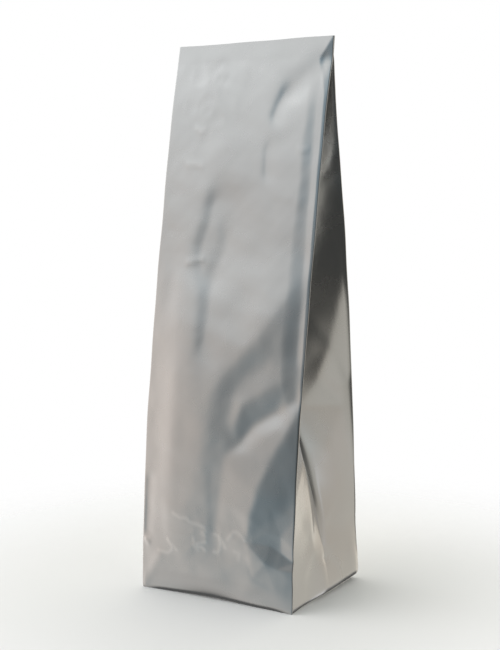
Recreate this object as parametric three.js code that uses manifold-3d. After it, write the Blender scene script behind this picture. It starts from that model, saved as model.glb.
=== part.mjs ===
// Side gusset bag of silver film: filled, shut and standing by itself.
// Millimetres, +Z up. The front panel faces -Y, and the origin is on the floor under the middle of the bag.
import * as THREE from 'three';
import { mergeVertices } from 'three/addons/utils/BufferGeometryUtils.js';
import Module from 'manifold-3d';

const { clamp, lerp, smoothstep } = THREE.MathUtils;

// Driving dimensions
const FACE_WIDTH = 85; // front and back panels
const GUSSET_DEPTH = 65; // front to back at the foot
const HEIGHT = 265; // as it stands
const BAND_HEIGHT = 9; // strip along the top where the film is pressed together
const BAND_THICKNESS = 1.2;
const TOP_LEAN = 5.3; // how far the top stands to the right of the foot

// Taper from the foot to the band
const FRONT_TAPER = 1.8; // power of the front panel's backward curve
const BACK_TAPER = 1.45;
const BACK_FOOT = 12; // the back panel stands upright up to here

// Side gussets
const GUSSET_PANEL = 33.5; // film from an edge fold to the centre fold
const GUSSET_START = 60; // the centre fold forms over this height
const GROOVE_CLOSE = 6; // the groove closes over this height below the band
const FOLD_LIP = 0.5; // doubled film along each edge fold

// Foot
const FOOT_ROUND = 2.5; // radius of the bottom edge
const BASE_RECESS = 0.8; // how far the middle of the base arches up
const RIM_WIDTH = 4; // flat rim round the base
const HEEL_LIFT = 2.4; // how far the back corners lift off the floor
const HEEL_REACH = 16; // height over which that lift fades
const HEEL_FROM = { u: 0.6, v: 0.2 }; // shares of the half width and half depth where it starts

// Bottom fin, folded flat under the base, and the lap seam up the back
const FIN = { length: 72, depth: 12, thickness: 1.6, y: 3 };
const LAP = { width: 10, proud: 0.6, sunk: 1, bottom: 4, top: HEIGHT - 0.5 };

// Panels swell between their edges, by this much at this height
const SWELL = { front: 1.2, back: 2.2, height: 95, reach: 75 };
const RELIEF_FOOT = 10; // swell and folds grow over this height above the rounded bottom edge
const RELIEF_TOP = 40; // and fade over this height below the band

// Broad folds: ends across and up the panel, reach to each side, and depth, which is below zero for a hollow
const FRONT_FOLDS = [
  { from: [38, 238], to: [36.5, 131], reach: 4, depth: -1.3 }, // flute beside the right edge
  { from: [-14, 194], to: [-21, 164], reach: 5, depth: -1.5 }, // upright dent, upper left
  { from: [33, 145], to: [5, 105], reach: 8, depth: -2.2 }, // long slanting fold
  { from: [5, 105], to: [-3, 58], reach: 8, depth: -1.8 }, // its foot
  { from: [42, 94], to: [17, 70], reach: 7, depth: 1.6 }, // ridge under the slanting fold
  { from: [22, 29], to: [42, 24], reach: 6, depth: -1.8 }, // dent at the lower right edge
];
const BACK_FOLDS = [
  { from: [-34, 226], to: [-36, 140], reach: 5, depth: -1.3 }, // flute beside an edge
  { from: [-30, 140], to: [-12, 62], reach: 8, depth: -2 }, // slanting folds to each side of the seam
  { from: [34, 150], to: [14, 88], reach: 8, depth: -2 },
  { from: [22, 44], to: [40, 30], reach: 7, depth: -1.6 },
];

// Divisions of the mesh
const COLUMNS = 22;
const GUSSET_COLUMNS = 12;
const FOOT_ROWS = 4;
const BODY_ROWS = 38;
const BAND_ROWS = 2;
const LAP_ROWS = 30;
const ROW_EASE = 0.4; // rows draw together towards the foot and the band
const MERGE_WITHIN = 1e-4;

const BAND_BOTTOM = HEIGHT - BAND_HEIGHT;
const ROWS = FOOT_ROWS + BODY_ROWS + BAND_ROWS;
const LIP_FROM = 1 - 2 / GUSSET_COLUMNS; // outermost column of a gusset is the doubled lip

function halfDepth(z, foot, power) {
  const closed = clamp((z - foot) / (BAND_BOTTOM - foot), 0, 1) ** power;
  return lerp(GUSSET_DEPTH / 2, BAND_THICKNESS / 2, closed);
}

const lean = (z) => TOP_LEAN * (z / HEIGHT - 0.5);
const frontDepth = (z) => halfDepth(z, 0, FRONT_TAPER);
const backDepth = (z) => halfDepth(z, BACK_FOOT, BACK_TAPER);

// The gusset's film keeps its width, so its centre fold goes in as the bag gets shallower
function gussetInset(z) {
  const half = (frontDepth(z) + backDepth(z)) / 2;
  const folded = Math.sqrt(Math.max(0, GUSSET_PANEL ** 2 - half ** 2));
  const closing = 1 - smoothstep(z, BAND_BOTTOM - GROOVE_CLOSE, BAND_BOTTOM);
  return folded * smoothstep(z, 0, GUSSET_START) * closing;
}

// How far the rounded bottom edge draws the outline in
function footInset(z) {
  const below = Math.max(0, FOOT_ROUND - z);
  return FOOT_ROUND - Math.sqrt(FOOT_ROUND ** 2 - below ** 2);
}

function foldHeight(x, z, { from, to, reach, depth }) {
  const along = new THREE.Vector2(to[0] - from[0], to[1] - from[1]);
  const offset = new THREE.Vector2(x - from[0], z - from[1]);
  const share = clamp(offset.dot(along) / along.lengthSq(), 0, 1);
  const distance = offset.addScaledVector(along, -share).length();
  return depth * Math.exp(-((distance / reach) ** 2));
}

// How far a panel stands out from its plain taper
function relief(x, z, folds, swell) {
  const across = Math.cos(Math.PI * clamp(x / FACE_WIDTH, -0.5, 0.5));
  const swelling = swell * across * Math.exp(-(((z - SWELL.height) / SWELL.reach) ** 2));
  const folding = folds.reduce((sum, fold) => sum + foldHeight(x, z, fold), 0);
  const rising = smoothstep(z, FOOT_ROUND, FOOT_ROUND + RELIEF_FOOT);
  const fading = 1 - smoothstep(z, BAND_BOTTOM - RELIEF_TOP, BAND_BOTTOM);
  return rising * fading * (swelling + folding);
}

const frontRelief = (x, z) => relief(x, z, FRONT_FOLDS, SWELL.front);
const backRelief = (x, z) => relief(x, z, BACK_FOLDS, SWELL.back);

// Rows follow the rounded foot, then the body, then the band
function rowHeight(row) {
  if (row <= FOOT_ROWS) return FOOT_ROUND * (1 - Math.cos((row / FOOT_ROWS) * Math.PI / 2));
  if (row <= FOOT_ROWS + BODY_ROWS) {
    const share = (row - FOOT_ROWS) / BODY_ROWS;
    const eased = share - ROW_EASE * Math.sin(2 * Math.PI * share) / (2 * Math.PI);
    return lerp(FOOT_ROUND, BAND_BOTTOM, eased);
  }
  return lerp(BAND_BOTTOM, HEIGHT, (row - FOOT_ROWS - BODY_ROWS) / BAND_ROWS);
}

// The base arches up inside its rim, and its back corners lift a little
function baseLift(u, v, z) {
  const toEdge = Math.min((1 - Math.abs(u)) * FACE_WIDTH, (1 - Math.abs(v)) * GUSSET_DEPTH) / 2;
  const arch = z > 0 ? 0 : BASE_RECESS * smoothstep(toEdge, RIM_WIDTH, 2 * RIM_WIDTH);
  const corner = smoothstep(Math.abs(u), HEEL_FROM.u, 1) * smoothstep(v, HEEL_FROM.v, 1);
  return arch + HEEL_LIFT * corner * (1 - smoothstep(z, 0, HEEL_REACH));
}

// A place on the bag: u from left to right and v from front to back, both from -1 to 1, at the height z
function bagPoint(u, v, z) {
  const round = footInset(z);
  const front = round - frontDepth(z);
  const back = backDepth(z) - round;
  const edge = v < 0 ? front + FOLD_LIP : back - FOLD_LIP;
  const outward = Math.min(1, Math.abs(v) / LIP_FROM);
  const lip = Math.max(0, Math.abs(v) - LIP_FROM) / (1 - LIP_FROM);
  const x = u * (FACE_WIDTH / 2 - round - gussetInset(z) * (1 - outward));
  const plain = lerp((front + back) / 2, edge, outward) + Math.sign(v) * FOLD_LIP * lip;
  const standing = Math.max(0, v) * backRelief(x, z) - Math.max(0, -v) * frontRelief(x, z);
  return new THREE.Vector3(x + lean(z), plain + standing, z + baseLift(u, v, z));
}

// Moves every corner of a geometry to the place that a function gives for it
function mapped(geometry, place) {
  const corners = geometry.getAttribute('position');
  for (let i = 0; i < corners.count; i += 1) {
    const corner = place(new THREE.Vector3().fromBufferAttribute(corners, i));
    corners.setXYZ(i, corner.x, corner.y, corner.z);
  }
  return geometry;
}

function bagBody() {
  const box = new THREE.BoxGeometry(2, 2, ROWS, COLUMNS, GUSSET_COLUMNS, ROWS);
  return mapped(box, ({ x, y, z }) => bagPoint(x, y, rowHeight(Math.round(z + ROWS / 2))));
}

function lapSeam() {
  const strip = new THREE.BoxGeometry(LAP.width, 2, 1, 1, 1, LAP_ROWS);
  return mapped(strip, ({ x, y, z }) => {
    const height = lerp(LAP.bottom, LAP.top, z + 0.5);
    const surface = backDepth(height) + backRelief(x, height);
    return new THREE.Vector3(x + lean(height), surface + (y > 0 ? LAP.proud : -LAP.sunk), height);
  });
}

function bottomFin() {
  const strip = new THREE.BoxGeometry(FIN.length, FIN.depth, FIN.thickness);
  return strip.translate(lean(0), FIN.y, FIN.thickness / 2);
}

const wasm = await Module();
wasm.setup();

function solid(geometry) {
  geometry.deleteAttribute('normal');
  geometry.deleteAttribute('uv');
  const merged = mergeVertices(geometry, MERGE_WITHIN);
  return new wasm.Manifold(new wasm.Mesh({
    numProp: 3,
    vertProperties: new Float32Array(merged.getAttribute('position').array),
    triVerts: new Uint32Array(merged.getIndex().array),
  }));
}

function geometryOf(manifold) {
  const mesh = manifold.getMesh();
  const geometry = new THREE.BufferGeometry();
  geometry.setAttribute('position', new THREE.BufferAttribute(mesh.vertProperties, 3));
  geometry.setIndex(new THREE.BufferAttribute(mesh.triVerts, 1));
  geometry.computeVertexNormals();
  return geometry;
}

const film = new THREE.MeshStandardMaterial({ color: 0xb9bab7, roughness: 0.3, metalness: 1 });

const whole = solid(bagBody()).add(solid(lapSeam())).add(solid(bottomFin()));
const bag = new THREE.Mesh(geometryOf(whole), film);
bag.name = 'bag';

const sideGussetBag = new THREE.Group();
sideGussetBag.add(bag);

export default sideGussetBag;
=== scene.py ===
# Side gusset bag of silver film: its creased skin, finish, light and view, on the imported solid.
import math

import bmesh
import bpy
import numpy as np
from mathutils import Matrix, Vector
from mathutils.geometry import delaunay_2d_cdt


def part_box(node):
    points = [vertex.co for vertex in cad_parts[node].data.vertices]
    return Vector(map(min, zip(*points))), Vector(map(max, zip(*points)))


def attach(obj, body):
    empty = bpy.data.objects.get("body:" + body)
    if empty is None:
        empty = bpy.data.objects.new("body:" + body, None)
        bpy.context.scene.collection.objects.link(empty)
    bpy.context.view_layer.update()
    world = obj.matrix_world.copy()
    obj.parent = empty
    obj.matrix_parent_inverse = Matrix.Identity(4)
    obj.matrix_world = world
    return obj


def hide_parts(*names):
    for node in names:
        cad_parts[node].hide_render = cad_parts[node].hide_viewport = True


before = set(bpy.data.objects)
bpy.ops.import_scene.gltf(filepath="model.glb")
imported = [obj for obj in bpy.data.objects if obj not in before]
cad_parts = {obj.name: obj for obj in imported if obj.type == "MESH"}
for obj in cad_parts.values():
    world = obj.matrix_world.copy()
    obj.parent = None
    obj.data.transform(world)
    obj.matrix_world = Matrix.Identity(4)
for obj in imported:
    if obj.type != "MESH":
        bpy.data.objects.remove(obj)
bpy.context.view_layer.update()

MM = 0.001
TINY = 1e-6
NODE = "bag"
LOW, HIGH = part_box(NODE)

# Driving sizes in millimetres, as in the solid
HEIGHT = (HIGH.z - LOW.z) / MM
FACE_WIDTH = 85.0
GUSSET_DEPTH = 65.0
TOP_LEAN = 5.3
BAND_HEIGHT = 9.0
BAND_THICKNESS = 1.2
FRONT_TAPER = 1.8
BACK_TAPER = 1.45
BACK_FOOT = 12.0
GUSSET_PANEL = 33.5
GROOVE_CLOSE = 6.0
HALF_WIDTH = FACE_WIDTH / 2
BAND_BOTTOM = HEIGHT - BAND_HEIGHT

# Band along the top: it slopes back, its foot stands forward, and its edge is a little wavy
BAND_SLOPE = 0.2
BAND_LEAN_FROM = 150.0
TOP_WAVE = 0.3
TOP_WAVE_LENGTH = 40.0

# Centre fold of a gusset: it goes in slowly up to its knee, then faster and faster
FOLD_KNEE = 24.0
FOLD_RISE_LOW = 0.0875
FOLD_RISE = 0.1665
FOLD_BEND = 0.0022
FOLD_EASE = 2.0

# Dimple at the foot of the centre fold
DIMPLE_HEIGHT = 18.0
DIMPLE_DEPTH = 0.35
DIMPLE_REACH = 1.8

# Edge folds: their roundness, and how far and between which heights they wander
FOLD_RADIUS = 0.28
FOLD_RADIUS_SHARE = 0.42  # of the half depth, which is less near the band
EDGE_WAVER = 0.12
EDGE_WAVER_LENGTH = 45.0
EDGE_WAVER_FOOT = (4.0, 30.0)
EDGE_WAVER_TOP = 20.0

# Strip beside the right fold that turns back: its slope, and its width at each height
ROLL_SLOPE = 0.2
ROLL_WIDTHS = [
    (0, 0.2), (60, 0.8), (130, 1.4), (190, 1.5), (225, 1.6), (238, 1.8), (246, 3.4), (254, 6.5), (265, 0.2),
]
ROLL_ON_GUSSET = (215.0, 245.0)  # the gusset turns with it above these heights

# Step back beside the right fold: height, its rim and its floor across the panel, and its depth
EDGE_STEP = [
    (250, 31.5, 38.0, 0.0), (236, 32.0, 38.0, 0.3), (226.5, 32.0, 38.0, 0.42), (217.5, 31.0, 38.0, 0.5),
    (199, 31.8, 38.8, 0.48), (181, 30.6, 38.6, 0.5), (163, 30.3, 39.8, 0.6), (144.6, 30.5, 40.2, 0.52),
    (131, 30.0, 40.0, 0.5), (120, 30.5, 40.3, 0.6), (111, 30.0, 40.0, 0.65), (103, 32.0, 40.3, 0.45),
    (96, 34.0, 41.0, 0.25), (90, 35.0, 41.5, 0.0),
]

# Kink of the right fold near the foot: height, and how far the fold stands out
KINK = [(12, 0), (16, 0.3), (20, 0.4), (24.5, -0.35), (27, 0.15), (31, 0.5), (36, 0.55), (45, 0.3), (55, 0)]

# Bottom edge: its height and bend, and shares of it at the corners and at the backs of the sides
FOOT_ROUND = 2.5
FOOT_BEND = 3.3
CORNER_SHARE = 0.2
CORNER_REACH = 14.0
HEEL_SHARE = 1.3
HEEL_ACROSS = (0.7, 1.0)  # shares of the half width where this starts and is full
HEEL_ALONG = (-0.5, 0.7)  # shares of the half depth

# Base: it arches up inside its rim, and its back corners lift off the floor
BASE_RECESS = 0.8
RIM_WIDTH = 4.0
HEEL_LIFT = 0.6
HEEL_REACH = 16.0
HEEL_LIFT_ACROSS = (0.6, 1.0)
HEEL_LIFT_ALONG = (0.2, 1.0)

# Foot of the front panel, drawn in along its middle
TOE_IN = 1.6
TOE_TOP = 7.0
TOE_MIDDLE = -4.0
TOE_HALF_LENGTH = 32.0

# Sides above the floor: they swell out, less at their very back, and tuck in at the floor
SIDE_SWELL = 2.6
SIDE_SWELL_HEIGHTS = (1.0, 34.0)
SIDE_SWELL_ALONG = (-0.55, -0.1)
SIDE_SWELL_BACK = (0.75, 1.0)
SIDE_SWELL_BACK_SHARE = 0.5
SIDE_TUCK = 2.6
SIDE_TUCK_TOP = 5.0

# Bottom fin, folded flat under the base, and the lap seam up the back
FIN_HALF_LENGTH = 36.0
FIN_FRONT = -3.0
FIN_BACK = 9.0
LAP_HALF_WIDTH = 5.0
LAP_PROUD = 0.5
LAP_ROUND = 2.5
LAP_BOTTOM = 6.0

# Divisions of the film's mesh
COLUMNS = 150
GUSSET_COLUMNS = 52
LIP_COLUMNS = 4
FOOT_ROWS = 8
BODY_ROWS = 200
BAND_ROWS = 10
ROWS = FOOT_ROWS + BODY_ROWS + BAND_ROWS
ROW_SAMPLES = 1000
CLOSE_ROWS = 1.6  # rows stand closer by this much round the curls
CLOSE_ROWS_HEIGHT = 29.0
CLOSE_ROWS_REACH = 16.0
EDGE_DRAW = 0.22  # columns draw together towards the edge folds
CREASE_DRAW = 1.35  # and towards the centre folds
SHARP_ANGLE = math.radians(50)

# How far the creases of each kind are rounded, and the rings of places whose mean does it
CRISP_ROUND = 0.7
FIRM_ROUND = 2.4
SOFT_ROUND = 4.5
GUSSET_ROUND = 1.8
ROUNDING_RINGS = (0.35, 0.7, 1.0)
RING_PLACES = 8
BORDER_PLACES_UP = 6
BORDER_PLACES_ACROSS = 4
CREASE_MERGE = 1e-4

# Where the relief of a panel fades: in from its edges, above the floor and below the band
HOLLOW_EDGE_FADE = 5.0
NICK_EDGE_FADE = 2.0
PANEL_FOOT_FADE = (2.0, 12.0)
PANEL_TOP_FADE = 4.0
GUSSET_FOOT_FADE = (3.0, 14.0)
GUSSET_TOP_FADE = (222.0, 250.0)

# Fine unevenness of the film: heights, wavelengths and their spread, numbers of waves, and seeds
FINE_HEIGHT = 0.035
FINE_LENGTH = 20.0
FINEST_HEIGHT = 0.006
FINEST_LENGTH = 7.0
GUSSET_FINE_HEIGHT = 0.03
GUSSET_FINE_LENGTH = 16.0
CRUMPLE_LENGTH = 13.0
WAVE_STRETCH = (0.7, 1.5)
MANY_WAVES = 28
FEW_WAVES = 9
RIGHT_EDGE_SEED = 5
LEFT_EDGE_SEED = 6
TOP_SEED = 8
FRONT_SEED = 11
BACK_SEED = 23
GUSSET_SEED = 40

# Soft creases of the front panel: places across and up it, and how far it stands out there
FRONT_SOFT = {
    "left border": [
        (-36.5, 22, 0.4), (-36.5, 50, 0.65), (-36.5, 90, 0.75), (-37, 130, 0.6), (-37, 165, 0.1),
    ],
    "left side": [
        (-26, 22, 1.5), (-26, 50, 2.35), (-26, 90, 2.65), (-27, 130, 2.0), (-30, 165, 0.35), (-31, 205, 0.1),
    ],
    "left shoulder": [
        (-16, 22, 1.75), (-16, 50, 2.65), (-15, 90, 3.05), (-15, 130, 2.5), (-18, 165, 0.8), (-20, 205, 0.3),
    ],
    "rim of the slanting fold": [
        (31.5, 146, 0.9), (24.5, 135, 1.7), (18.2, 126, 2.2), (9.4, 117.5, 2.55), (0.9, 108.6, 2.8),
        (-3.8, 98, 3.0), (-5, 86, 3.0), (-7, 72, 3.0), (-9.5, 58, 2.75), (-9.5, 42, 2.3), (-9, 24, 1.7),
    ],
    "floor of the slanting fold": [
        (37, 120, -0.1), (25.7, 117, 0.65), (18.1, 113, 1.05), (10.2, 105, 1.45), (5.8, 98, 1.6),
        (5.6, 87, 1.85), (4.7, 75, 2.15), (3.1, 63, 2.3), (1.6, 49, 2.2), (0.5, 35, 1.75),
    ],
    "upper swell": [(-8, 226, 0.1), (2, 210, 0.2), (18, 188, 0.25), (6, 164, 0.8)],
}

# Firm creases of the front panel, which add to the soft ones
FRONT_FIRM = {
    "edge of the step": [(36, 108.5, 0.0), (22, 101.5, 0.2), (12, 95, 0.3), (9, 86, 0.2)],
    "bank of the step": [(6.5, 100, 0.0), (6.5, 92, 0.0)],
    "hollow above the ridge": [(41, 99.5, -0.3), (29.2, 92.5, -0.85), (18.8, 86, -0.8), (11, 76, -0.3)],
    "ridge": [
        (42.5, 96, 0), (35.3, 88.5, 0.3), (22.8, 81, 0.45), (16.8, 73, 0.6), (12, 61, 0.75), (8, 48, 0.6),
    ],
    "shoulder of the right facet": [
        (37, 85, 0.7), (28.5, 69, 1.4), (22.8, 54.8, 1.9), (19.5, 43, 1.8), (18.9, 33, 1.2),
        (19.5, 27, 1.05),
    ],
    "foot of the right facet": [(20, 20, 0.7), (31, 19, 0.2)],
    "left of the ridge": [(4.5, 84, 0), (4, 70, 0), (3.5, 58, 0), (2, 46, 0), (1, 30, 0)],
    "foot": [(-32, 17.4, 0.2), (-20, 14, 0.1), (0, 14, 0.2), (20, 12, 0.4), (30.3, 11, 0.2)],
}

# Crisp creases of the front panel, which add to both: a dent at the foot of the right fold
FRONT_CRISP = {
    "fold": [(HALF_WIDTH, up, out) for up, out in KINK],
    "above": [(HALF_WIDTH, 55, 0), (30, 49, 0), (20, 42, 0), (17, 31, 0)],
    "swell": [(29, 37, 0.2), (35.5, 36, 0.2)],
    "upper edge": [(20, 31.5, -0.05), (30, 31, -0.05), (36, 28, -0.12), (HALF_WIDTH, 24.5, -0.35)],
    "lower edge": [
        (20, 31.5, -0.05), (21, 28.5, 0.15), (28, 22.5, 0.68), (34, 20.5, 0.59), (HALF_WIDTH, 24.5, -0.35),
    ],
    "below": [(17, 31, 0), (18, 24, 0), (21, 15, 0), (33, 10, 0), (HALF_WIDTH, 12, 0)],
}

# Soft hollows of the front panel: path, reach to the left and to the right of it, and depth
FRONT_HOLLOWS = {
    "grey flute, top": ([(38, 251.5), (31, 247), (24.5, 241.5)], 5.5, 8.0, -0.5),
    "grey flute, neck": ([(19.5, 238), (17.5, 234), (16, 229)], 2.5, 6.0, -0.4),
    "grey flute, stem": ([(13.8, 213), (14.3, 203)], 2.3, 6.0, -0.24),
    "upright dent": ([(-12.5, 187), (-14, 178), (-17, 168), (-16.5, 158)], 6.0, 14.0, -0.85),
    "second dent": ([(-3, 168), (-6, 160), (-8.5, 151), (-9.5, 142), (-10, 128)], 7.0, 36.0, -0.95),
    "dark streak": ([(-1.8, 61), (-1.0, 48), (-0.6, 34)], 2.8, 5.0, -0.1),
    "middle hollow": ([(7, 165), (6, 136)], 10.0, 10.0, -0.22),
}

# Small nicks of the front panel, given in the same way
FRONT_NICKS = {
    "foot of the dent": ([(-25, 160.5), (-17, 162.2)], 1.4, 1.4, 0.12),
    "left corner": ([(-41.5, 2.5), (-32, 17.4)], 2.6, 2.6, 0.16),
    "left edge": ([(-39.3, 54), (-39.3, 44), (-39.6, 30)], 2.4, 3.4, -0.26),
    "left spot": ([(-40.4, 24.4), (-39, 23.2)], 1.4, 1.4, 0.2),
    "kink of the flute": ([(30, 213.6), (31.5, 212.2), (35.3, 213.2)], 0.8, 0.8, 0.10),
    "diamond": ([(-21, 251), (-15.5, 256), (-10.5, 251), (-14.6, 245), (-21, 251)], 2.0, 2.0, -0.06),
    "top left, bar": ([(-30, 207.5), (-22, 206.5)], 1.5, 1.5, 0.10),
    "top left, spot": ([(-27, 224.5), (-24, 223), (-22, 224)], 1.4, 1.4, 0.09),
}

# Little curled creases of the front panel, with a painted highlight along each: paths, and how light each is
# painted
FRONT_CURLS = [
    ([(-23.3, 40), (-19, 38.4), (-15.5, 38.6), (-13.3, 36.9), (-9.2, 36.4), (-5.2, 35.4)], 0.9),
    ([(-5.2, 35.4), (-4.2, 33.4), (-6.4, 32.6), (-4.6, 31.2)], 0.6),
    ([(-26.4, 26.7), (-24, 23.6), (-24, 21.6), (-26.2, 19.9), (-32, 20.3)], 0.9),
    ([(-24, 24.6), (-21, 22)], 0.7),
    ([(-11.3, 29.3), (-10.8, 25.6), (-8.8, 23.8)], 0.7),
    ([(-4.4, 28.3), (-9.5, 26.8), (-9.4, 25.2), (-6.6, 25.6), (-4.9, 24.4)], 0.9),
    ([(0.5, 32.9), (2.8, 32.2), (3.6, 29), (3.5, 26), (2.4, 24.4), (0.3, 24.1)], 0.9),
    ([(2.8, 32.2), (5.7, 28.8), (6.4, 27)], 0.7),
    ([(7.9, 31.5), (11.1, 35.3), (13.3, 35.6), (16.1, 33.6), (17.2, 32.3)], 0.8),
    ([(11.5, 26), (14.5, 25.4), (14, 22)], 0.5),
    ([(-40.6, 25), (-38.4, 25.6)], 0.8),
    ([(-30, 207.5), (-26, 207.8), (-22, 206.5)], 0.35),
    ([(-27, 224.5), (-24, 223), (-22, 224)], 0.35),
    ([(-25, 160.5), (-17, 162.2)], 0.4),
]
CURL_REACH = 1.0
CURL_HEIGHT = 0.045
HIGHLIGHT_ATTRIBUTE = "whitened"  # attribute that holds how strong the painted highlight along the curls is

# Crumpled places of the front panel: middle across and up, reach each way, and height of the ridges
FRONT_CRUMPLES = [((-5, 30), (24, 9), 0.05), ((-20, 238), (14, 15), 0.08), ((-25, 205), (9, 8), 0.06)]

# The back panel's, in the same ways
BACK_SOFT = {
    "left flute, rim": [(-30, 226, 0.2), (-30, 180, 0.4), (-31, 142, 0.4)],
    "left flute, floor": [(-37, 226, -0.4), (-37.5, 180, -0.7), (-37, 140, -0.5)],
    "left fold, rim": [(-33, 128, 0.9), (-22, 92, 1.4), (-14, 62, 1.5), (-13, 38, 1.2)],
    "left fold, floor": [(-27, 134, -0.5), (-14, 100, -0.4), (-7.5, 64, 0.4)],
    "right fold, floor": [(35, 152, -0.6), (24, 116, -0.7), (15, 84, -0.1), (13, 52, 0.8)],
    "right fold, rim": [(28, 158, 0.4), (15, 120, 0.7), (7.5, 84, 1.2)],
}

BACK_FIRM = {
    "right shoulder": [(33, 100, 0.6), (30, 62, 1.8), (28, 36, 1.6)],
    "foot": [(-30, 16, 0.8), (0, 14, 1.2), (30, 14, 0.9)],
}

BACK_CRISP = {
    "dent at the foot, ridge": [(-38, 34, 0.2), (-30, 31, 0.5), (-21, 33, 0.1)],
    "dent at the foot, floor": [(-37, 27, -0.3), (-29, 24, -0.5), (-20, 26, -0.1)],
}

BACK_HOLLOWS = {
    "upper dent": ([(16, 226), (19, 200)], 4.0, 7.0, -0.5),
    "upper fold": ([(-22, 214), (-12, 211)], 1.8, 1.8, -0.2),
    "side dent": ([(33, 214), (31, 190)], 3.6, 6.0, -0.45),
    "lower dent": ([(-38, 52), (-28, 40)], 4.0, 4.0, -0.6),
}

BACK_NICKS = {
    "upper bow": ([(-26, 232), (-20, 229), (-15, 231)], 1.4, 1.4, 0.10),
    "middle bar": ([(10, 176), (18, 173.5)], 1.4, 1.4, -0.10),
}

BACK_CRUMPLES = [((4, 30), (26, 10), 0.06)]

# Creases of a gusset half: film in from the edge fold, height up, and how far it stands out
RIGHT_BACK_CREASES = {
    "slanting ridge": [
        (0.5, 157, 0.15), (1.8, 150.5, 0.4), (4.8, 139.4, 1.1), (10.2, 120, 1.8), (17.5, 104.2, 1.9),
    ],
    "upper fold": [(0.6, 216, 0.2), (4.5, 208.5, 0.7), (10.2, 201, 1.0), (16, 192, 0.6)],
    "beside the centre fold": [
        (28.5, 90, 0.1), (30, 78, 0.8), (30.6, 68, 1.4), (30.8, 58, 1.6), (31, 46, 1.7), (31, 36, 1.6),
        (31.6, 27, 0.8), (33, 20, 0.02),
    ],
    "side dent": [(4.4, 100, -0.4), (4.4, 90, -0.4)],
    "lower swell": [(14, 74, 1.3), (16, 44, 1.0)],
}
RIGHT_FRONT_CREASES = {
    "swell": [(15, 190, 0.4), (16, 140, 0.6)],
    "bow": [
        (22, 82, 0.1), (22, 73, 1.0), (22, 64, 1.9), (22, 56, 1.8), (22, 50, 1.65), (22, 44, 1.5),
        (22, 38, 1.3), (22, 32, 1.0), (22, 26, 0.7), (22, 18, 0.35), (22, 10, 0.05),
    ],
}
LEFT_BACK_CREASES = {
    "slanting ridge": [(4, 140, 0.6), (14, 122, 1.8), (25, 98, 1.2)],
    "upper fold": [(2, 206, 0.3), (11, 190, 0.8)],
    "lower swell": [(16, 66, 1.0), (16, 38, 0.8)],
}
LEFT_FRONT_CREASES = {
    "slanting ridge": [(4, 150, 0.5), (13, 128, 1.6), (25, 102, 1.1)],
    "beside the centre fold": [(26, 75, 1.8), (28, 58, 1.5), (30, 40, 0.9)],
    "swell": [(14, 66, 1.2), (16, 36, 0.8)],
}


# Plain form of the bag

def smooth_step(value, low, high):
    share = np.clip((value - low) / (high - low), 0, 1)
    return share * share * (3 - 2 * share)


def mix(first, second, share):
    return first + (second - first) * share


def half_depth(z, foot, power):
    closed = np.clip((z - foot) / (BAND_BOTTOM - foot), 0, 1) ** power
    return mix(GUSSET_DEPTH / 2, BAND_THICKNESS / 2, closed)


def front_depth(z):
    return half_depth(z, 0, FRONT_TAPER)


def back_depth(z):
    return half_depth(z, BACK_FOOT, BACK_TAPER)


def gusset_inset(z):
    """How far the centre fold goes in: along a bent crease first, then as far as the film lets it."""
    half = (front_depth(z) + back_depth(z)) / 2
    folded = np.sqrt(np.maximum(0, GUSSET_PANEL ** 2 - half ** 2))
    above = np.maximum(0, z - FOLD_KNEE)
    crease = FOLD_RISE_LOW * np.minimum(z, FOLD_KNEE) + FOLD_RISE * above + FOLD_BEND * above ** 2
    eased = (folded + crease - np.hypot(folded - crease, FOLD_EASE)) / 2
    closing = 1 - smooth_step(z, BAND_BOTTOM - GROOVE_CLOSE, BAND_BOTTOM)
    return np.maximum(0, eased) * closing


def foot_inset(z):
    """How far the rounded bottom edge draws the outline in."""
    below = np.maximum(0, FOOT_ROUND - z)
    return FOOT_BEND - np.sqrt(FOOT_BEND ** 2 - below ** 2)


def lean(z):
    return TOP_LEAN * (z / HEIGHT - 0.5)


def band_shift(z):
    """The band slopes back like the front panel below it, and its foot stands forward of the middle."""
    forward = BAND_SLOPE * BAND_HEIGHT * smooth_step(z, BAND_LEAN_FROM, BAND_BOTTOM)
    return BAND_SLOPE * np.maximum(0, z - BAND_BOTTOM) - forward


def edge_roll(x, z):
    """The front panel turns back beside its right fold, most of all under the top corner."""
    width = np.interp(z, *zip(*ROLL_WIDTHS))
    return ROLL_SLOPE * np.maximum(0, width - (HALF_WIDTH - x))


def edge_step(x, z):
    """The front panel steps back along its right fold: from a rim to a floor, by a depth, at each height."""
    heights, *columns = zip(*reversed(EDGE_STEP))
    rim, floor, depth = (np.interp(z, heights, column) for column in columns)
    return depth * smooth_step(x, rim, floor)


def edge_waver(z, seed):
    """Small wander of an edge fold from its straight run."""
    fade = smooth_step(z, *EDGE_WAVER_FOOT) * (1 - smooth_step(z, BAND_BOTTOM - EDGE_WAVER_TOP, HEIGHT))
    return EDGE_WAVER * fade * crinkle(np.zeros_like(z), z, EDGE_WAVER_LENGTH, seed, FEW_WAVES)


def top_drop(x, z):
    """The top edge dips a little here and there."""
    wave = crinkle(x, np.zeros_like(x), TOP_WAVE_LENGTH, TOP_SEED, FEW_WAVES)
    dip = np.clip(0.5 + 0.5 * wave, 0, 1)
    return TOP_WAVE * dip * smooth_step(z, BAND_BOTTOM, HEIGHT)


# Creases and hollows

def pinned_border(width, low, high):
    """Points of no height round a panel, so that its creases run out at its edges."""
    left, right = width
    ups = np.linspace(low, high, BORDER_PLACES_UP)
    acrosses = np.linspace(left, right, BORDER_PLACES_ACROSS)
    sides = [[(x, z, 0) for z in ups] for x in (left, right)]
    ends = [[(x, z, 0) for x in acrosses[1:-1]] for z in (low, high)]
    return sides + ends


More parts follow.
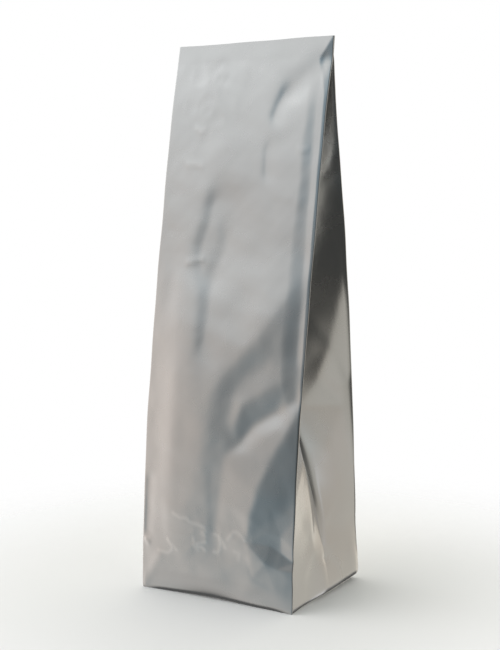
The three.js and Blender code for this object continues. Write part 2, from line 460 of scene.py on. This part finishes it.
def facets(creases, border):
    """Flat facets that meet along the creases: corner places and heights of each triangle."""
    points, edges = [], []
    for line in [*creases.values(), *border]:
        edges += [(len(points) + i, len(points) + i + 1) for i in range(len(line) - 1)]
        points += line
    flat = [Vector((x, z)) for x, z, _ in points]
    placed, _, triangles, origin, _, _ = delaunay_2d_cdt(flat, edges, [], 0, CREASE_MERGE)
    height = [points[came[0]][2] for came in origin]
    return [[(*placed[i], height[i]) for i in triangle] for triangle in triangles]


def facet_height(triangles, x, z):
    """Height of the facets at each place, from the shares of the triangle's corners in it."""
    height = np.zeros_like(x)
    for (ax, az, ah), (bx, bz, bh), (cx, cz, ch) in triangles:
        area = (bx - ax) * (cz - az) - (cx - ax) * (bz - az)
        a = ((bx - x) * (cz - z) - (cx - x) * (bz - z)) / area
        b = ((cx - x) * (az - z) - (ax - x) * (cz - z)) / area
        inside = (a >= -TINY) & (b >= -TINY) & (a + b <= 1 + TINY)
        height[inside] = (a * ah + b * bh + (1 - a - b) * ch)[inside]
    return height


def rounded_height(triangles, x, z, reach):
    """Facets with their creases rounded, as a mean over rings. Past a panel's edge they run straight on."""
    acrosses = [corner[0] for triangle in triangles for corner in triangle]
    left, right = min(acrosses), max(acrosses)
    total = facet_height(triangles, np.clip(x, left, right), z)
    count = 1
    for ring in ROUNDING_RINGS:
        for turn in np.arange(RING_PLACES) * 2 * math.pi / RING_PLACES + ring:
            across = x + ring * reach * math.cos(turn)
            up = z + ring * reach * math.sin(turn)
            inside = np.clip(across, left, right)
            height = facet_height(triangles, inside, up)
            past = across != inside
            mirrored = (2 * inside - across)[past]
            height[past] = 2 * height[past] - facet_height(triangles, mirrored, up[past])
            total += height
            count += 1
    return total / count


def nearest_on(path, x, z):
    """How far each place is from a path, and how far to the right of it."""
    nearest = np.full_like(x, np.inf)
    aside = np.zeros_like(x)
    for (ax, az), (bx, bz) in zip(path, path[1:]):
        length = (bx - ax) ** 2 + (bz - az) ** 2
        share = np.clip(((x - ax) * (bx - ax) + (z - az) * (bz - az)) / length, 0, 1)
        across = x - mix(ax, bx, share)
        away = np.hypot(across, z - mix(az, bz, share))
        closer = away < nearest
        nearest[closer] = away[closer]
        aside[closer] = across[closer]
    return nearest, aside


def line_height(lines, x, z):
    """Hollows and ridges along paths, each with its own reach to the left and to the right."""
    total = np.zeros_like(x)
    for path, left_reach, right_reach, height in lines.values():
        nearest, aside = nearest_on(path, x, z)
        to_right = smooth_step(aside / np.maximum(nearest, TINY), -1, 1)
        total += height * np.exp(-(nearest / mix(left_reach, right_reach, to_right)) ** 2)
    return total


def curl_strength(x, z):
    """How strong the curled creases are at each place of the front panel, from 0 to 1."""
    strength = np.zeros_like(x)
    for path, white in FRONT_CURLS:
        nearest, _ = nearest_on(path, x, z)
        strength = np.maximum(strength, white * np.exp(-(nearest / CURL_REACH) ** 2))
    return strength


def crinkle(x, z, wavelength, seed, waves=MANY_WAVES):
    """Smooth seeded unevenness of about unit height."""
    draw = np.random.default_rng(seed)
    total = np.zeros_like(x)
    for _ in range(waves):
        turn = draw.uniform(0, 2 * math.pi)
        phase = draw.uniform(0, 2 * math.pi)
        stretch = draw.uniform(*WAVE_STRETCH)
        along = (x * math.cos(turn) + z * math.sin(turn)) * 2 * math.pi / (wavelength * stretch)
        total += np.cos(along + phase)
    return total / math.sqrt(waves / 2)


def crumple_height(crumples, x, z, seed):
    """Sharp little ridges that wind about in the crumpled places."""
    ridges = 1 - np.abs(crinkle(x, z, CRUMPLE_LENGTH, seed))
    amount = np.zeros_like(x)
    for (across, up), (wide, tall), height in crumples:
        amount += height * np.exp(-((x - across) / wide) ** 2 - ((z - up) / tall) ** 2)
    return amount * ridges


def panel_relief(x, z, soft, firm, crisp, hollows, nicks, crumples, seed):
    """How far a front or back panel stands out of its plain taper."""
    border = pinned_border((-HALF_WIDTH, HALF_WIDTH), 0, HEIGHT)
    from_edge = HALF_WIDTH - np.abs(x)
    edge = smooth_step(from_edge, 0, HOLLOW_EDGE_FADE)
    foot = smooth_step(z, *PANEL_FOOT_FADE)
    top = 1 - smooth_step(z, BAND_BOTTOM - PANEL_TOP_FADE, HEIGHT)
    fine = FINE_HEIGHT * crinkle(x, z, FINE_LENGTH, seed)
    fine += FINEST_HEIGHT * crinkle(x, z, FINEST_LENGTH, seed + 1)
    broad = rounded_height(facets(soft, border), x, z, SOFT_ROUND)
    sharp = rounded_height(facets(firm, border), x, z, FIRM_ROUND)
    sharp += rounded_height(facets(crisp, border), x, z, CRISP_ROUND)
    hollow = line_height(hollows, x, z) + crumple_height(crumples, x, z, seed + 2)
    small = line_height(nicks, x, z) * smooth_step(from_edge, 0, NICK_EDGE_FADE)
    return foot * (broad + edge * top * (hollow + fine)) + sharp + small


# The film's mesh

def divided_box():
    """A box from -1 to 1 each way, divided into the film's columns and rows."""
    bm = bmesh.new()
    bmesh.ops.create_cube(bm, size=2)
    for axis, count in enumerate((COLUMNS, GUSSET_COLUMNS, ROWS)):
        along = [e for e in bm.edges if abs((e.verts[0].co - e.verts[1].co)[axis]) > TINY]
        bmesh.ops.subdivide_edges(bm, edges=along, cuts=count - 1, use_grid_fill=True)
    thin_out_top(bm)
    return bm


def thin_out_top(bm):
    """Leaves one face across the thin top edge in each column."""
    across = [
        e for e in bm.edges
        if all(v.co.z > 1 - TINY and abs(v.co.y) < 1 - TINY for v in e.verts)
        and abs(e.verts[0].co.x - e.verts[1].co.x) > TINY
    ]
    bmesh.ops.dissolve_edges(bm, edges=across, use_verts=True)


def row_heights():
    """Heights of the rows: along the rounded bottom edge, up the body and up the band."""
    foot = FOOT_ROUND * (1 - np.cos(np.linspace(0, math.pi / 2, FOOT_ROWS + 1)))
    even = np.linspace(FOOT_ROUND, BAND_BOTTOM, ROW_SAMPLES)
    density = np.cumsum(1 + CLOSE_ROWS * np.exp(-((even - CLOSE_ROWS_HEIGHT) / CLOSE_ROWS_REACH) ** 2))
    wanted = np.linspace(density[0], density[-1], BODY_ROWS + 1)[1:]
    body = np.interp(wanted, density, even)
    band = np.linspace(BAND_BOTTOM, HEIGHT, BAND_ROWS + 1)[1:]
    return np.concatenate([foot, body, band])


def foot_share(u, v):
    """The bottom edge is nearly sharp at its corners, and rounded most at the backs of the sides."""
    from_corner = np.hypot((1 - np.abs(u)) * HALF_WIDTH, (1 - np.abs(v)) * GUSSET_DEPTH / 2)
    plain = mix(CORNER_SHARE, 1, smooth_step(from_corner, 0, CORNER_REACH))
    heel = HEEL_SHARE * smooth_step(v, *HEEL_ALONG) * smooth_step(np.abs(u), *HEEL_ACROSS)
    return np.maximum(plain, heel)


def toe_in(u, z):
    """The foot of the front panel draws in towards the floor along its middle."""
    from_middle = (u * HALF_WIDTH - TOE_MIDDLE) / TOE_HALF_LENGTH
    along = np.cos(np.clip(from_middle, -1, 1) * math.pi / 2) ** 2
    return TOE_IN * along * np.clip(1 - z / TOE_TOP, 0, 1) ** 2


def side_swell(v, z):
    """The sides swell out above the floor, from their middle to the back, and tuck in again at the floor."""
    less = mix(1, SIDE_SWELL_BACK_SHARE, smooth_step(v, *SIDE_SWELL_BACK))
    along = smooth_step(v, *SIDE_SWELL_ALONG) * less
    swell = SIDE_SWELL * (1 - smooth_step(z, *SIDE_SWELL_HEIGHTS))
    tuck = SIDE_TUCK * np.clip(1 - z / SIDE_TUCK_TOP, 0, 1) ** 2
    return along * (swell - tuck)


def side_section(u, v, z):
    """The right side at each place: across, front to back, share of the way to the fold, and its way out."""
    round_in = foot_inset(z) * foot_share(u, v)
    half_width = HALF_WIDTH - round_in + side_swell(v, z)
    front = round_in - front_depth(z) + toe_in(u, z)
    back = back_depth(z) - round_in
    step = np.abs(v) * GUSSET_COLUMNS / 2
    inner = GUSSET_COLUMNS / 2 - LIP_COLUMNS
    share = 1 - np.clip(step / inner, 0, 1) ** CREASE_DRAW
    turn = np.clip((step - inner) / LIP_COLUMNS, 0, 1) * math.pi
    radius = np.minimum(FOLD_RADIUS, FOLD_RADIUS_SHARE * (back - front) / 2)
    outward = np.where(v < 0, -1.0, 1.0)
    edge = np.where(v < 0, front, back)
    lip_x = half_width - radius + radius * np.sin(turn)
    lip_y = edge - outward * radius * (1 + np.cos(turn))
    fold_x = half_width - gusset_inset(z) - radius
    fold_y = (front + back) / 2
    x = mix(lip_x, fold_x, share)
    y = mix(lip_y, fold_y, share)
    along_x, along_y = fold_x - lip_x, fold_y - lip_y
    length = np.maximum(np.hypot(along_x, along_y), TINY)
    out_x = np.abs(along_y) / length
    out_y = -outward * np.abs(along_x) / length
    return x, y, share, out_x, out_y


def side_relief(v, z, share, right):
    """How far the gusset halves stand out of their flat form."""
    film = share * GUSSET_PANEL
    border = pinned_border((0, GUSSET_PANEL), 0, BAND_BOTTOM)
    total = np.zeros_like(z)
    for front_half, creases in (
        (True, RIGHT_FRONT_CREASES if right else LEFT_FRONT_CREASES),
        (False, RIGHT_BACK_CREASES if right else LEFT_BACK_CREASES),
    ):
        here = (v < 0) == front_half
        x_here, z_here = film[here], z[here]
        seed = GUSSET_SEED + 2 * front_half + right
        fade = smooth_step(z_here, *GUSSET_FOOT_FADE) * (1 - smooth_step(z_here, *GUSSET_TOP_FADE))
        fine = GUSSET_FINE_HEIGHT * crinkle(x_here, z_here, GUSSET_FINE_LENGTH, seed)
        creased = rounded_height(facets(creases, border), x_here, z_here, GUSSET_ROUND)
        total[here] = fade * (creased + fine * np.sin(math.pi * share[here]))
    dimple = np.hypot(GUSSET_PANEL - film, z - DIMPLE_HEIGHT) / DIMPLE_REACH
    return total - DIMPLE_DEPTH * np.exp(-dimple ** 2)


def base_lift(u, v, x, y, z):
    """The base arches up inside its rim, but not under the fin, and its back corners lift a little."""
    to_edge = np.minimum((1 - np.abs(u)) * HALF_WIDTH, (1 - np.abs(v)) * GUSSET_DEPTH / 2)
    arch = np.where(z > 0, 0, BASE_RECESS * smooth_step(to_edge, RIM_WIDTH, 2 * RIM_WIDTH))
    fin = (np.abs(x) < FIN_HALF_LENGTH) & (y > FIN_FRONT) & (y < FIN_BACK)
    arch = np.where(fin, 0, arch)
    corner = smooth_step(np.abs(u), *HEEL_LIFT_ACROSS) * smooth_step(v, *HEEL_LIFT_ALONG)
    heel = HEEL_LIFT * corner * (1 - smooth_step(z, 0, HEEL_REACH))
    return arch + heel


def lap_seam(x, z):
    """The lap up the back: a free edge on one side, rounded over on the other."""
    across = (x < LAP_HALF_WIDTH) * smooth_step(x, -LAP_HALF_WIDTH, LAP_ROUND - LAP_HALF_WIDTH)
    return LAP_PROUD * across * (z > LAP_BOTTOM)


def gusset_stand(u, v, z, share, on_side):
    """How far the film of both gussets stands out, and nothing elsewhere."""
    stand = np.zeros_like(z)
    for right in (True, False):
        here = on_side & ((u > 0) == right)
        stand[here] = side_relief(v[here], z[here], share[here], right)
    return stand


def bag_points(u, v, t):
    """Places of the film for a box's points, all from -1 to 1: across, front to back and up."""
    z = row_heights()[np.rint((t + 1) / 2 * ROWS).astype(int)]
    u = u + EDGE_DRAW * (u - u ** 3)
    right = u > 0
    side_x, y, share, out_x, out_y = side_section(u, v, z)
    front = v < TINY - 1
    back = v > 1 - TINY
    on_side = (np.abs(u) > 1 - TINY) & ~front & ~back
    stand = gusset_stand(u, v, z, share, on_side)
    waver = np.where(right, edge_waver(z, RIGHT_EDGE_SEED), edge_waver(z, LEFT_EDGE_SEED)) * np.abs(v)
    x = u * (side_x + stand * out_x + waver)
    y = y + stand * out_y

    kink = np.interp(z, *zip(*KINK)) * (1 - share)
    y -= np.where(on_side & right & (v < 0), kink, 0)
    y[front] -= CURL_HEIGHT * curl_strength(x[front], z[front]) + panel_relief(
        x[front], z[front],
        FRONT_SOFT, FRONT_FIRM, FRONT_CRISP, FRONT_HOLLOWS, FRONT_NICKS, FRONT_CRUMPLES, FRONT_SEED,
    )
    y[back] += lap_seam(x[back], z[back]) + panel_relief(
        x[back], z[back],
        BACK_SOFT, BACK_FIRM, BACK_CRISP, BACK_HOLLOWS, BACK_NICKS, BACK_CRUMPLES, BACK_SEED,
    )
    forward = np.maximum(0, -v)
    rolled = edge_roll(x, z) * mix(forward, 1, smooth_step(z, *ROLL_ON_GUSSET)) + edge_step(x, z) * forward
    up = z + base_lift(u, v, x, y, z) - top_drop(x, z)
    return np.stack([x + lean(z), y + band_shift(z) + rolled, up], axis=1) * MM


def make_film():
    """The bag's film as one closed mesh, with a sharp crease along each centre fold."""
    bm = divided_box()
    corners = np.array([v.co for v in bm.verts])
    creased = {
        vert for vert in bm.verts
        if abs(vert.co.x) > 1 - TINY and abs(vert.co.y) < TINY and abs(vert.co.z) < 1 - TINY
    }
    for vert, place in zip(bm.verts, bag_points(*corners.T)):
        vert.co = place
    bmesh.ops.recalc_face_normals(bm, faces=bm.faces)
    for face in bm.faces:
        face.smooth = True
    for edge in bm.edges:
        edge.smooth = edge.calc_face_angle(0) < SHARP_ANGLE and not creased.issuperset(edge.verts)
    mesh = bpy.data.meshes.new("bag_film")
    bm.to_mesh(mesh)
    bm.free()
    # Painted highlight along the curled creases, stored on each point
    paint_curl_highlights(mesh, front=corners[:, 1] < TINY - 1)
    film = bpy.data.objects.new("bag_film", mesh)
    bpy.context.scene.collection.objects.link(film)
    return film


def paint_curl_highlights(mesh, front):
    """Stores on each point how strong the painted highlight along the curls is there."""
    x, _, z = np.array([vert.co for vert in mesh.vertices]).T / MM
    white = np.where(front, curl_strength(x - lean(z), z), 0)
    mesh.attributes.new(HIGHLIGHT_ATTRIBUTE, "FLOAT", "POINT").data.foreach_set("value", white)


# Shader maths as Python expressions

class Wire:
    """A node's output that takes part in Python arithmetic by adding Math nodes."""

    def __init__(self, tree, socket):
        self.tree = tree
        self.socket = socket

    def math(self, operation, first, second):
        node = self.tree.nodes.new("ShaderNodeMath")
        node.operation = operation
        for slot, value in zip(node.inputs, (first, second)):
            if isinstance(value, Wire):
                self.tree.links.new(value.socket, slot)
            else:
                slot.default_value = value
        return Wire(self.tree, node.outputs[0])

    def __add__(self, other):
        return self.math("ADD", self, other)

    def __radd__(self, other):
        return self.math("ADD", other, self)

    def __sub__(self, other):
        return self.math("SUBTRACT", self, other)

    def __rsub__(self, other):
        return self.math("SUBTRACT", other, self)

    def __mul__(self, other):
        return self.math("MULTIPLY", self, other)

    def __rmul__(self, other):
        return self.math("MULTIPLY", other, self)

    def __truediv__(self, other):
        return self.math("DIVIDE", self, other)


class Nodes:
    """Adds nodes to a tree: type, settings, then values or links of the sockets."""

    def __init__(self, tree):
        self.tree = tree
        tree.nodes.clear()

    def add(self, kind, settings=None, **sockets):
        node = self.tree.nodes.new(kind)
        for name, value in (settings or {}).items():
            if name == "stops":
                self.set_stops(node.color_ramp, value)
            else:
                setattr(node, name, value)
        for name, value in sockets.items():
            slot = node.inputs[name.replace("_", " ")]
            if isinstance(value, Wire):
                self.tree.links.new(value.socket, slot)
            else:
                slot.default_value = value
        return node

    def wire(self, node, output=0):
        return Wire(self.tree, node.outputs[output])

    @staticmethod
    def set_stops(ramp, stops):
        ramp.interpolation = "LINEAR"
        for extra in stops[2:]:
            ramp.elements.new(extra[0])
        for element, (place, colour) in zip(ramp.elements, stops):
            element.position = place
            element.color = (*colour, 1)


# Finishes

SILVER_DARKER = (0.60, 0.607, 0.605, 1)
SILVER_LIGHTER = (0.66, 0.663, 0.656, 1)
# Lighter silver painted along the curled creases as a highlight
SILVER_HIGHLIGHT = (0.75, 0.75, 0.74, 1)
FLOOR_COLOUR = (0.9, 0.9, 0.89, 1)
FLOOR_FADE = (0.08, 0.26)  # metres from the bag's middle


def film_material():
    """Satin silver with faint clouds and grain, and a painted highlight along the curls."""
    material = bpy.data.materials.new("silver_film")
    material.use_nodes = True
    nodes = Nodes(material.node_tree)
    place = nodes.wire(nodes.add("ShaderNodeTexCoord"), "Object")
    cloud = nodes.wire(nodes.add("ShaderNodeTexNoise", Vector=place, Scale=38.0, Detail=3.0), "Fac")
    grain = nodes.wire(nodes.add("ShaderNodeTexNoise", Vector=place, Scale=900.0, Detail=2.0), "Fac")
    colour = nodes.add(
        "ShaderNodeMix", {"data_type": "RGBA"},
        Factor=cloud, A=SILVER_DARKER, B=SILVER_LIGHTER,
    )
    # Painted highlight: the colour turns lighter along the curled creases
    white = nodes.wire(nodes.add("ShaderNodeAttribute", {"attribute_name": HIGHLIGHT_ATTRIBUTE}), "Fac")
    whitened = nodes.add(
        "ShaderNodeMix", {"data_type": "RGBA"},
        Factor=white, A=nodes.wire(colour, "Result"), B=SILVER_HIGHLIGHT,
    )
    bump = nodes.add("ShaderNodeBump", Height=grain, Strength=0.05, Distance=0.0002)
    shader = nodes.add(
        "ShaderNodeBsdfPrincipled",
        Base_Color=nodes.wire(whitened, "Result"),
        Roughness=0.22 + 0.10 * cloud,
        Metallic=1.0,
        Coat_Weight=0.2,
        Coat_Roughness=0.12,
        Normal=nodes.wire(bump),
    )
    nodes.add("ShaderNodeOutputMaterial", Surface=nodes.wire(shader))
    return material


def floor_material():
    """Pale floor that fades out into the white round about, and that the film doesn't mirror."""
    material = bpy.data.materials.new("pale_floor")
    material.use_nodes = True
    nodes = Nodes(material.node_tree)
    place = nodes.wire(nodes.add("ShaderNodeTexCoord"), "Object")
    away = nodes.wire(nodes.add("ShaderNodeVectorMath", {"operation": "LENGTH"}, Vector=place), "Value")
    near, far = FLOOR_FADE
    faded = nodes.wire(nodes.add(
        "ShaderNodeMapRange", {"interpolation_type": "SMOOTHSTEP"}, Value=away, From_Min=near, From_Max=far,
    ))
    mirrored = nodes.wire(nodes.add("ShaderNodeLightPath"), "Is Glossy Ray")
    shader = nodes.add(
        "ShaderNodeBsdfPrincipled",
        Base_Color=FLOOR_COLOUR,
        Roughness=0.7,
        Alpha=(1.0 - faded) * (1.0 - mirrored),
    )
    nodes.add("ShaderNodeOutputMaterial", Surface=nodes.wire(shader))
    return material


# Stage, light and camera

FLOOR_RADIUS = 0.3  # metres
FLOOR_SEGMENTS = 96

# Windows and shades of the studio, each laid over those before it: angle from the front to the right,
# angle up, half angles within which it is full and outside which it ends, and brightness
STUDIO_PATCHES = [
    (-45, 66, 13, 21, 3.0),
    (-31, 19, 5, 11, 0.8),
    (-14, 4, 5, 10, 0.235),
    (117, 11, 6, 13, 0.75),
    (146, -35, 6, 11, 1.15),
    (161, -31, 7, 11, 0.12),
    (178, -39, 12, 18, 0.05),
    (-95, -55, 27, 40, 0.12),
]

# Colour of the studio at eye level, by the angle from the front to the right
STUDIO_ROUND = [
    (-180, (0.84, 0.81, 0.75)),
    (-110, (0.85, 0.83, 0.80)),
    (-62, (0.98, 0.94, 0.93)),
    (-42, (0.63, 0.61, 0.60)),
    (-31, (0.55, 0.54, 0.53)),
    (-23, (0.345, 0.40, 0.435)),
    (-14, (0.17, 0.235, 0.28)),
    (-4, (0.135, 0.17, 0.195)),
    (18, (0.045, 0.047, 0.047)),
    (51, (0.045, 0.047, 0.047)),
    (66, (0.47, 0.465, 0.435)),
    (110, (0.55, 0.545, 0.525)),
    (156, (0.53, 0.515, 0.475)),
    (163, (0.80, 0.77, 0.70)),
    (180, (0.84, 0.81, 0.75)),
]

# Left of the first angle the colours shift round with the height of the way, by the second straight up.
# Below the lowest height they shift no further.
SKEW_FROM = math.radians(30)
STUDIO_SKEW = math.radians(25)
LOWEST_SKEW = -0.1

# Brightness of the studio against eye level, from straight down at 0 to straight up at 1
STUDIO_UP = [
    (0.0, (0.90, 0.88, 0.85)),
    (0.20, (0.95, 0.93, 0.90)),
    (0.25, (1.05, 1.03, 1.0)),
    (0.29, (1.20, 1.17, 1.13)),
    (0.37, (1.12, 1.09, 1.05)),
    (0.44, (1.07, 1.0, 0.945)),
    (0.50, (1.05, 0.97, 0.905)),
    (0.56, (1.0, 0.955, 0.915)),
    (0.60, (0.96, 0.955, 0.95)),
    (0.64, (1.05, 1.08, 1.09)),
    (0.70, (1.22, 1.32, 1.37)),
    (0.75, (1.34, 1.41, 1.44)),
    (1.0, (1.5, 1.5, 1.5)),
]


def direction(azimuth, elevation):
    across = math.radians(azimuth)
    up = math.radians(elevation)
    return Vector((math.sin(across) * math.cos(up), -math.cos(across) * math.cos(up), math.sin(up)))


def studio_world():
    """Soft studio round the bag, which the film mirrors. The camera itself sees plain white."""
    world = bpy.data.worlds.new("studio")
    bpy.context.scene.world = world
    world.use_nodes = True
    nodes = Nodes(world.node_tree)
    way = nodes.wire(nodes.add("ShaderNodeTexCoord"), "Generated")
    split = nodes.add("ShaderNodeSeparateXYZ", Vector=way)
    x, y, z = (nodes.wire(split, axis) for axis in "XYZ")
    turn = x.math("ARCTAN2", x, y * -1.0)
    skewed = nodes.wire(nodes.add(
        "ShaderNodeMapRange", Value=turn, From_Min=SKEW_FROM, From_Max=0.0, To_Min=0.0, To_Max=STUDIO_SKEW,
    ))
    share = (turn - skewed * z.math("MAXIMUM", z, LOWEST_SKEW)) / (2 * math.pi) + 0.5
    stops = [((angle + 180) / 360, colour) for angle, colour in STUDIO_ROUND]
    walls = nodes.wire(nodes.add("ShaderNodeValToRGB", {"stops": stops}, Fac=share), "Color")
    upper = nodes.wire(nodes.add("ShaderNodeValToRGB", {"stops": STUDIO_UP}, Fac=z * 0.5 + 0.5), "Color")
    lit = nodes.wire(nodes.add(
        "ShaderNodeMix", {"data_type": "RGBA", "blend_type": "MULTIPLY"}, Factor=1.0, A=walls, B=upper,
    ), "Result")
    for azimuth, elevation, inner, outer, level in STUDIO_PATCHES:
        toward = direction(azimuth, elevation)
        facing = x * toward.x + y * toward.y + z * toward.z
        patch = nodes.wire(nodes.add(
            "ShaderNodeMapRange", {"interpolation_type": "SMOOTHSTEP"}, Value=facing,
            From_Min=math.cos(math.radians(outer)), From_Max=math.cos(math.radians(inner)),
        ))
        lit = nodes.wire(nodes.add(
            "ShaderNodeMix", {"data_type": "RGBA"}, Factor=patch, A=lit, B=(level, level, level, 1),
        ), "Result")
    seen = nodes.wire(nodes.add("ShaderNodeLightPath"), "Is Camera Ray")
    shown = nodes.wire(nodes.add(
        "ShaderNodeMix", {"data_type": "RGBA"}, Factor=seen, A=lit, B=(1, 1, 1, 1),
    ), "Result")
    background = nodes.add("ShaderNodeBackground", Color=shown, Strength=1.0)
    nodes.add("ShaderNodeOutputWorld", Surface=nodes.wire(background))


def make_floor():
    bm = bmesh.new()
    bmesh.ops.create_circle(bm, cap_ends=True, radius=FLOOR_RADIUS, segments=FLOOR_SEGMENTS)
    mesh = bpy.data.meshes.new("floor")
    bm.to_mesh(mesh)
    bm.free()
    floor = bpy.data.objects.new("floor", mesh)
    bpy.context.scene.collection.objects.link(floor)
    mesh.materials.append(floor_material())


# Viewpoint: turn to the right of the front panel, tilt down and roll in degrees, then distance from the
# bag's middle and shift across and up in millimetres, and the lens
VIEW_TURN = 31.16
VIEW_TILT = 6.28
VIEW_ROLL = -0.48
VIEW_DISTANCE = 610.7
VIEW_SHIFT = (1.16, -3.32)
VIEW_LENS = 69.23


def make_camera():
    forward = -direction(VIEW_TURN, VIEW_TILT)
    level = direction(VIEW_TURN + 90, 0)
    turned = Matrix.Rotation(-math.radians(VIEW_ROLL), 3, forward)
    right = turned @ level
    up = turned @ level.cross(forward)
    middle = Vector((-TOP_LEAN / 2, 0, HEIGHT / 2))
    place = middle - forward * VIEW_DISTANCE + right * VIEW_SHIFT[0] + up * VIEW_SHIFT[1]
    data = bpy.data.cameras.new("camera")
    data.lens = VIEW_LENS
    camera = bpy.data.objects.new("camera", data)
    bpy.context.scene.collection.objects.link(camera)
    axes = Matrix((right, up, -forward)).transposed()
    camera.matrix_world = Matrix.Translation(place * MM) @ axes.to_4x4()
    bpy.context.scene.camera = camera


make_camera()
studio_world()
make_floor()
bag_film = make_film()
bag_film.data.materials.append(film_material())
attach(bag_film, "root")
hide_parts(NODE)
bpy.context.scene.view_settings.view_transform = "Standard"
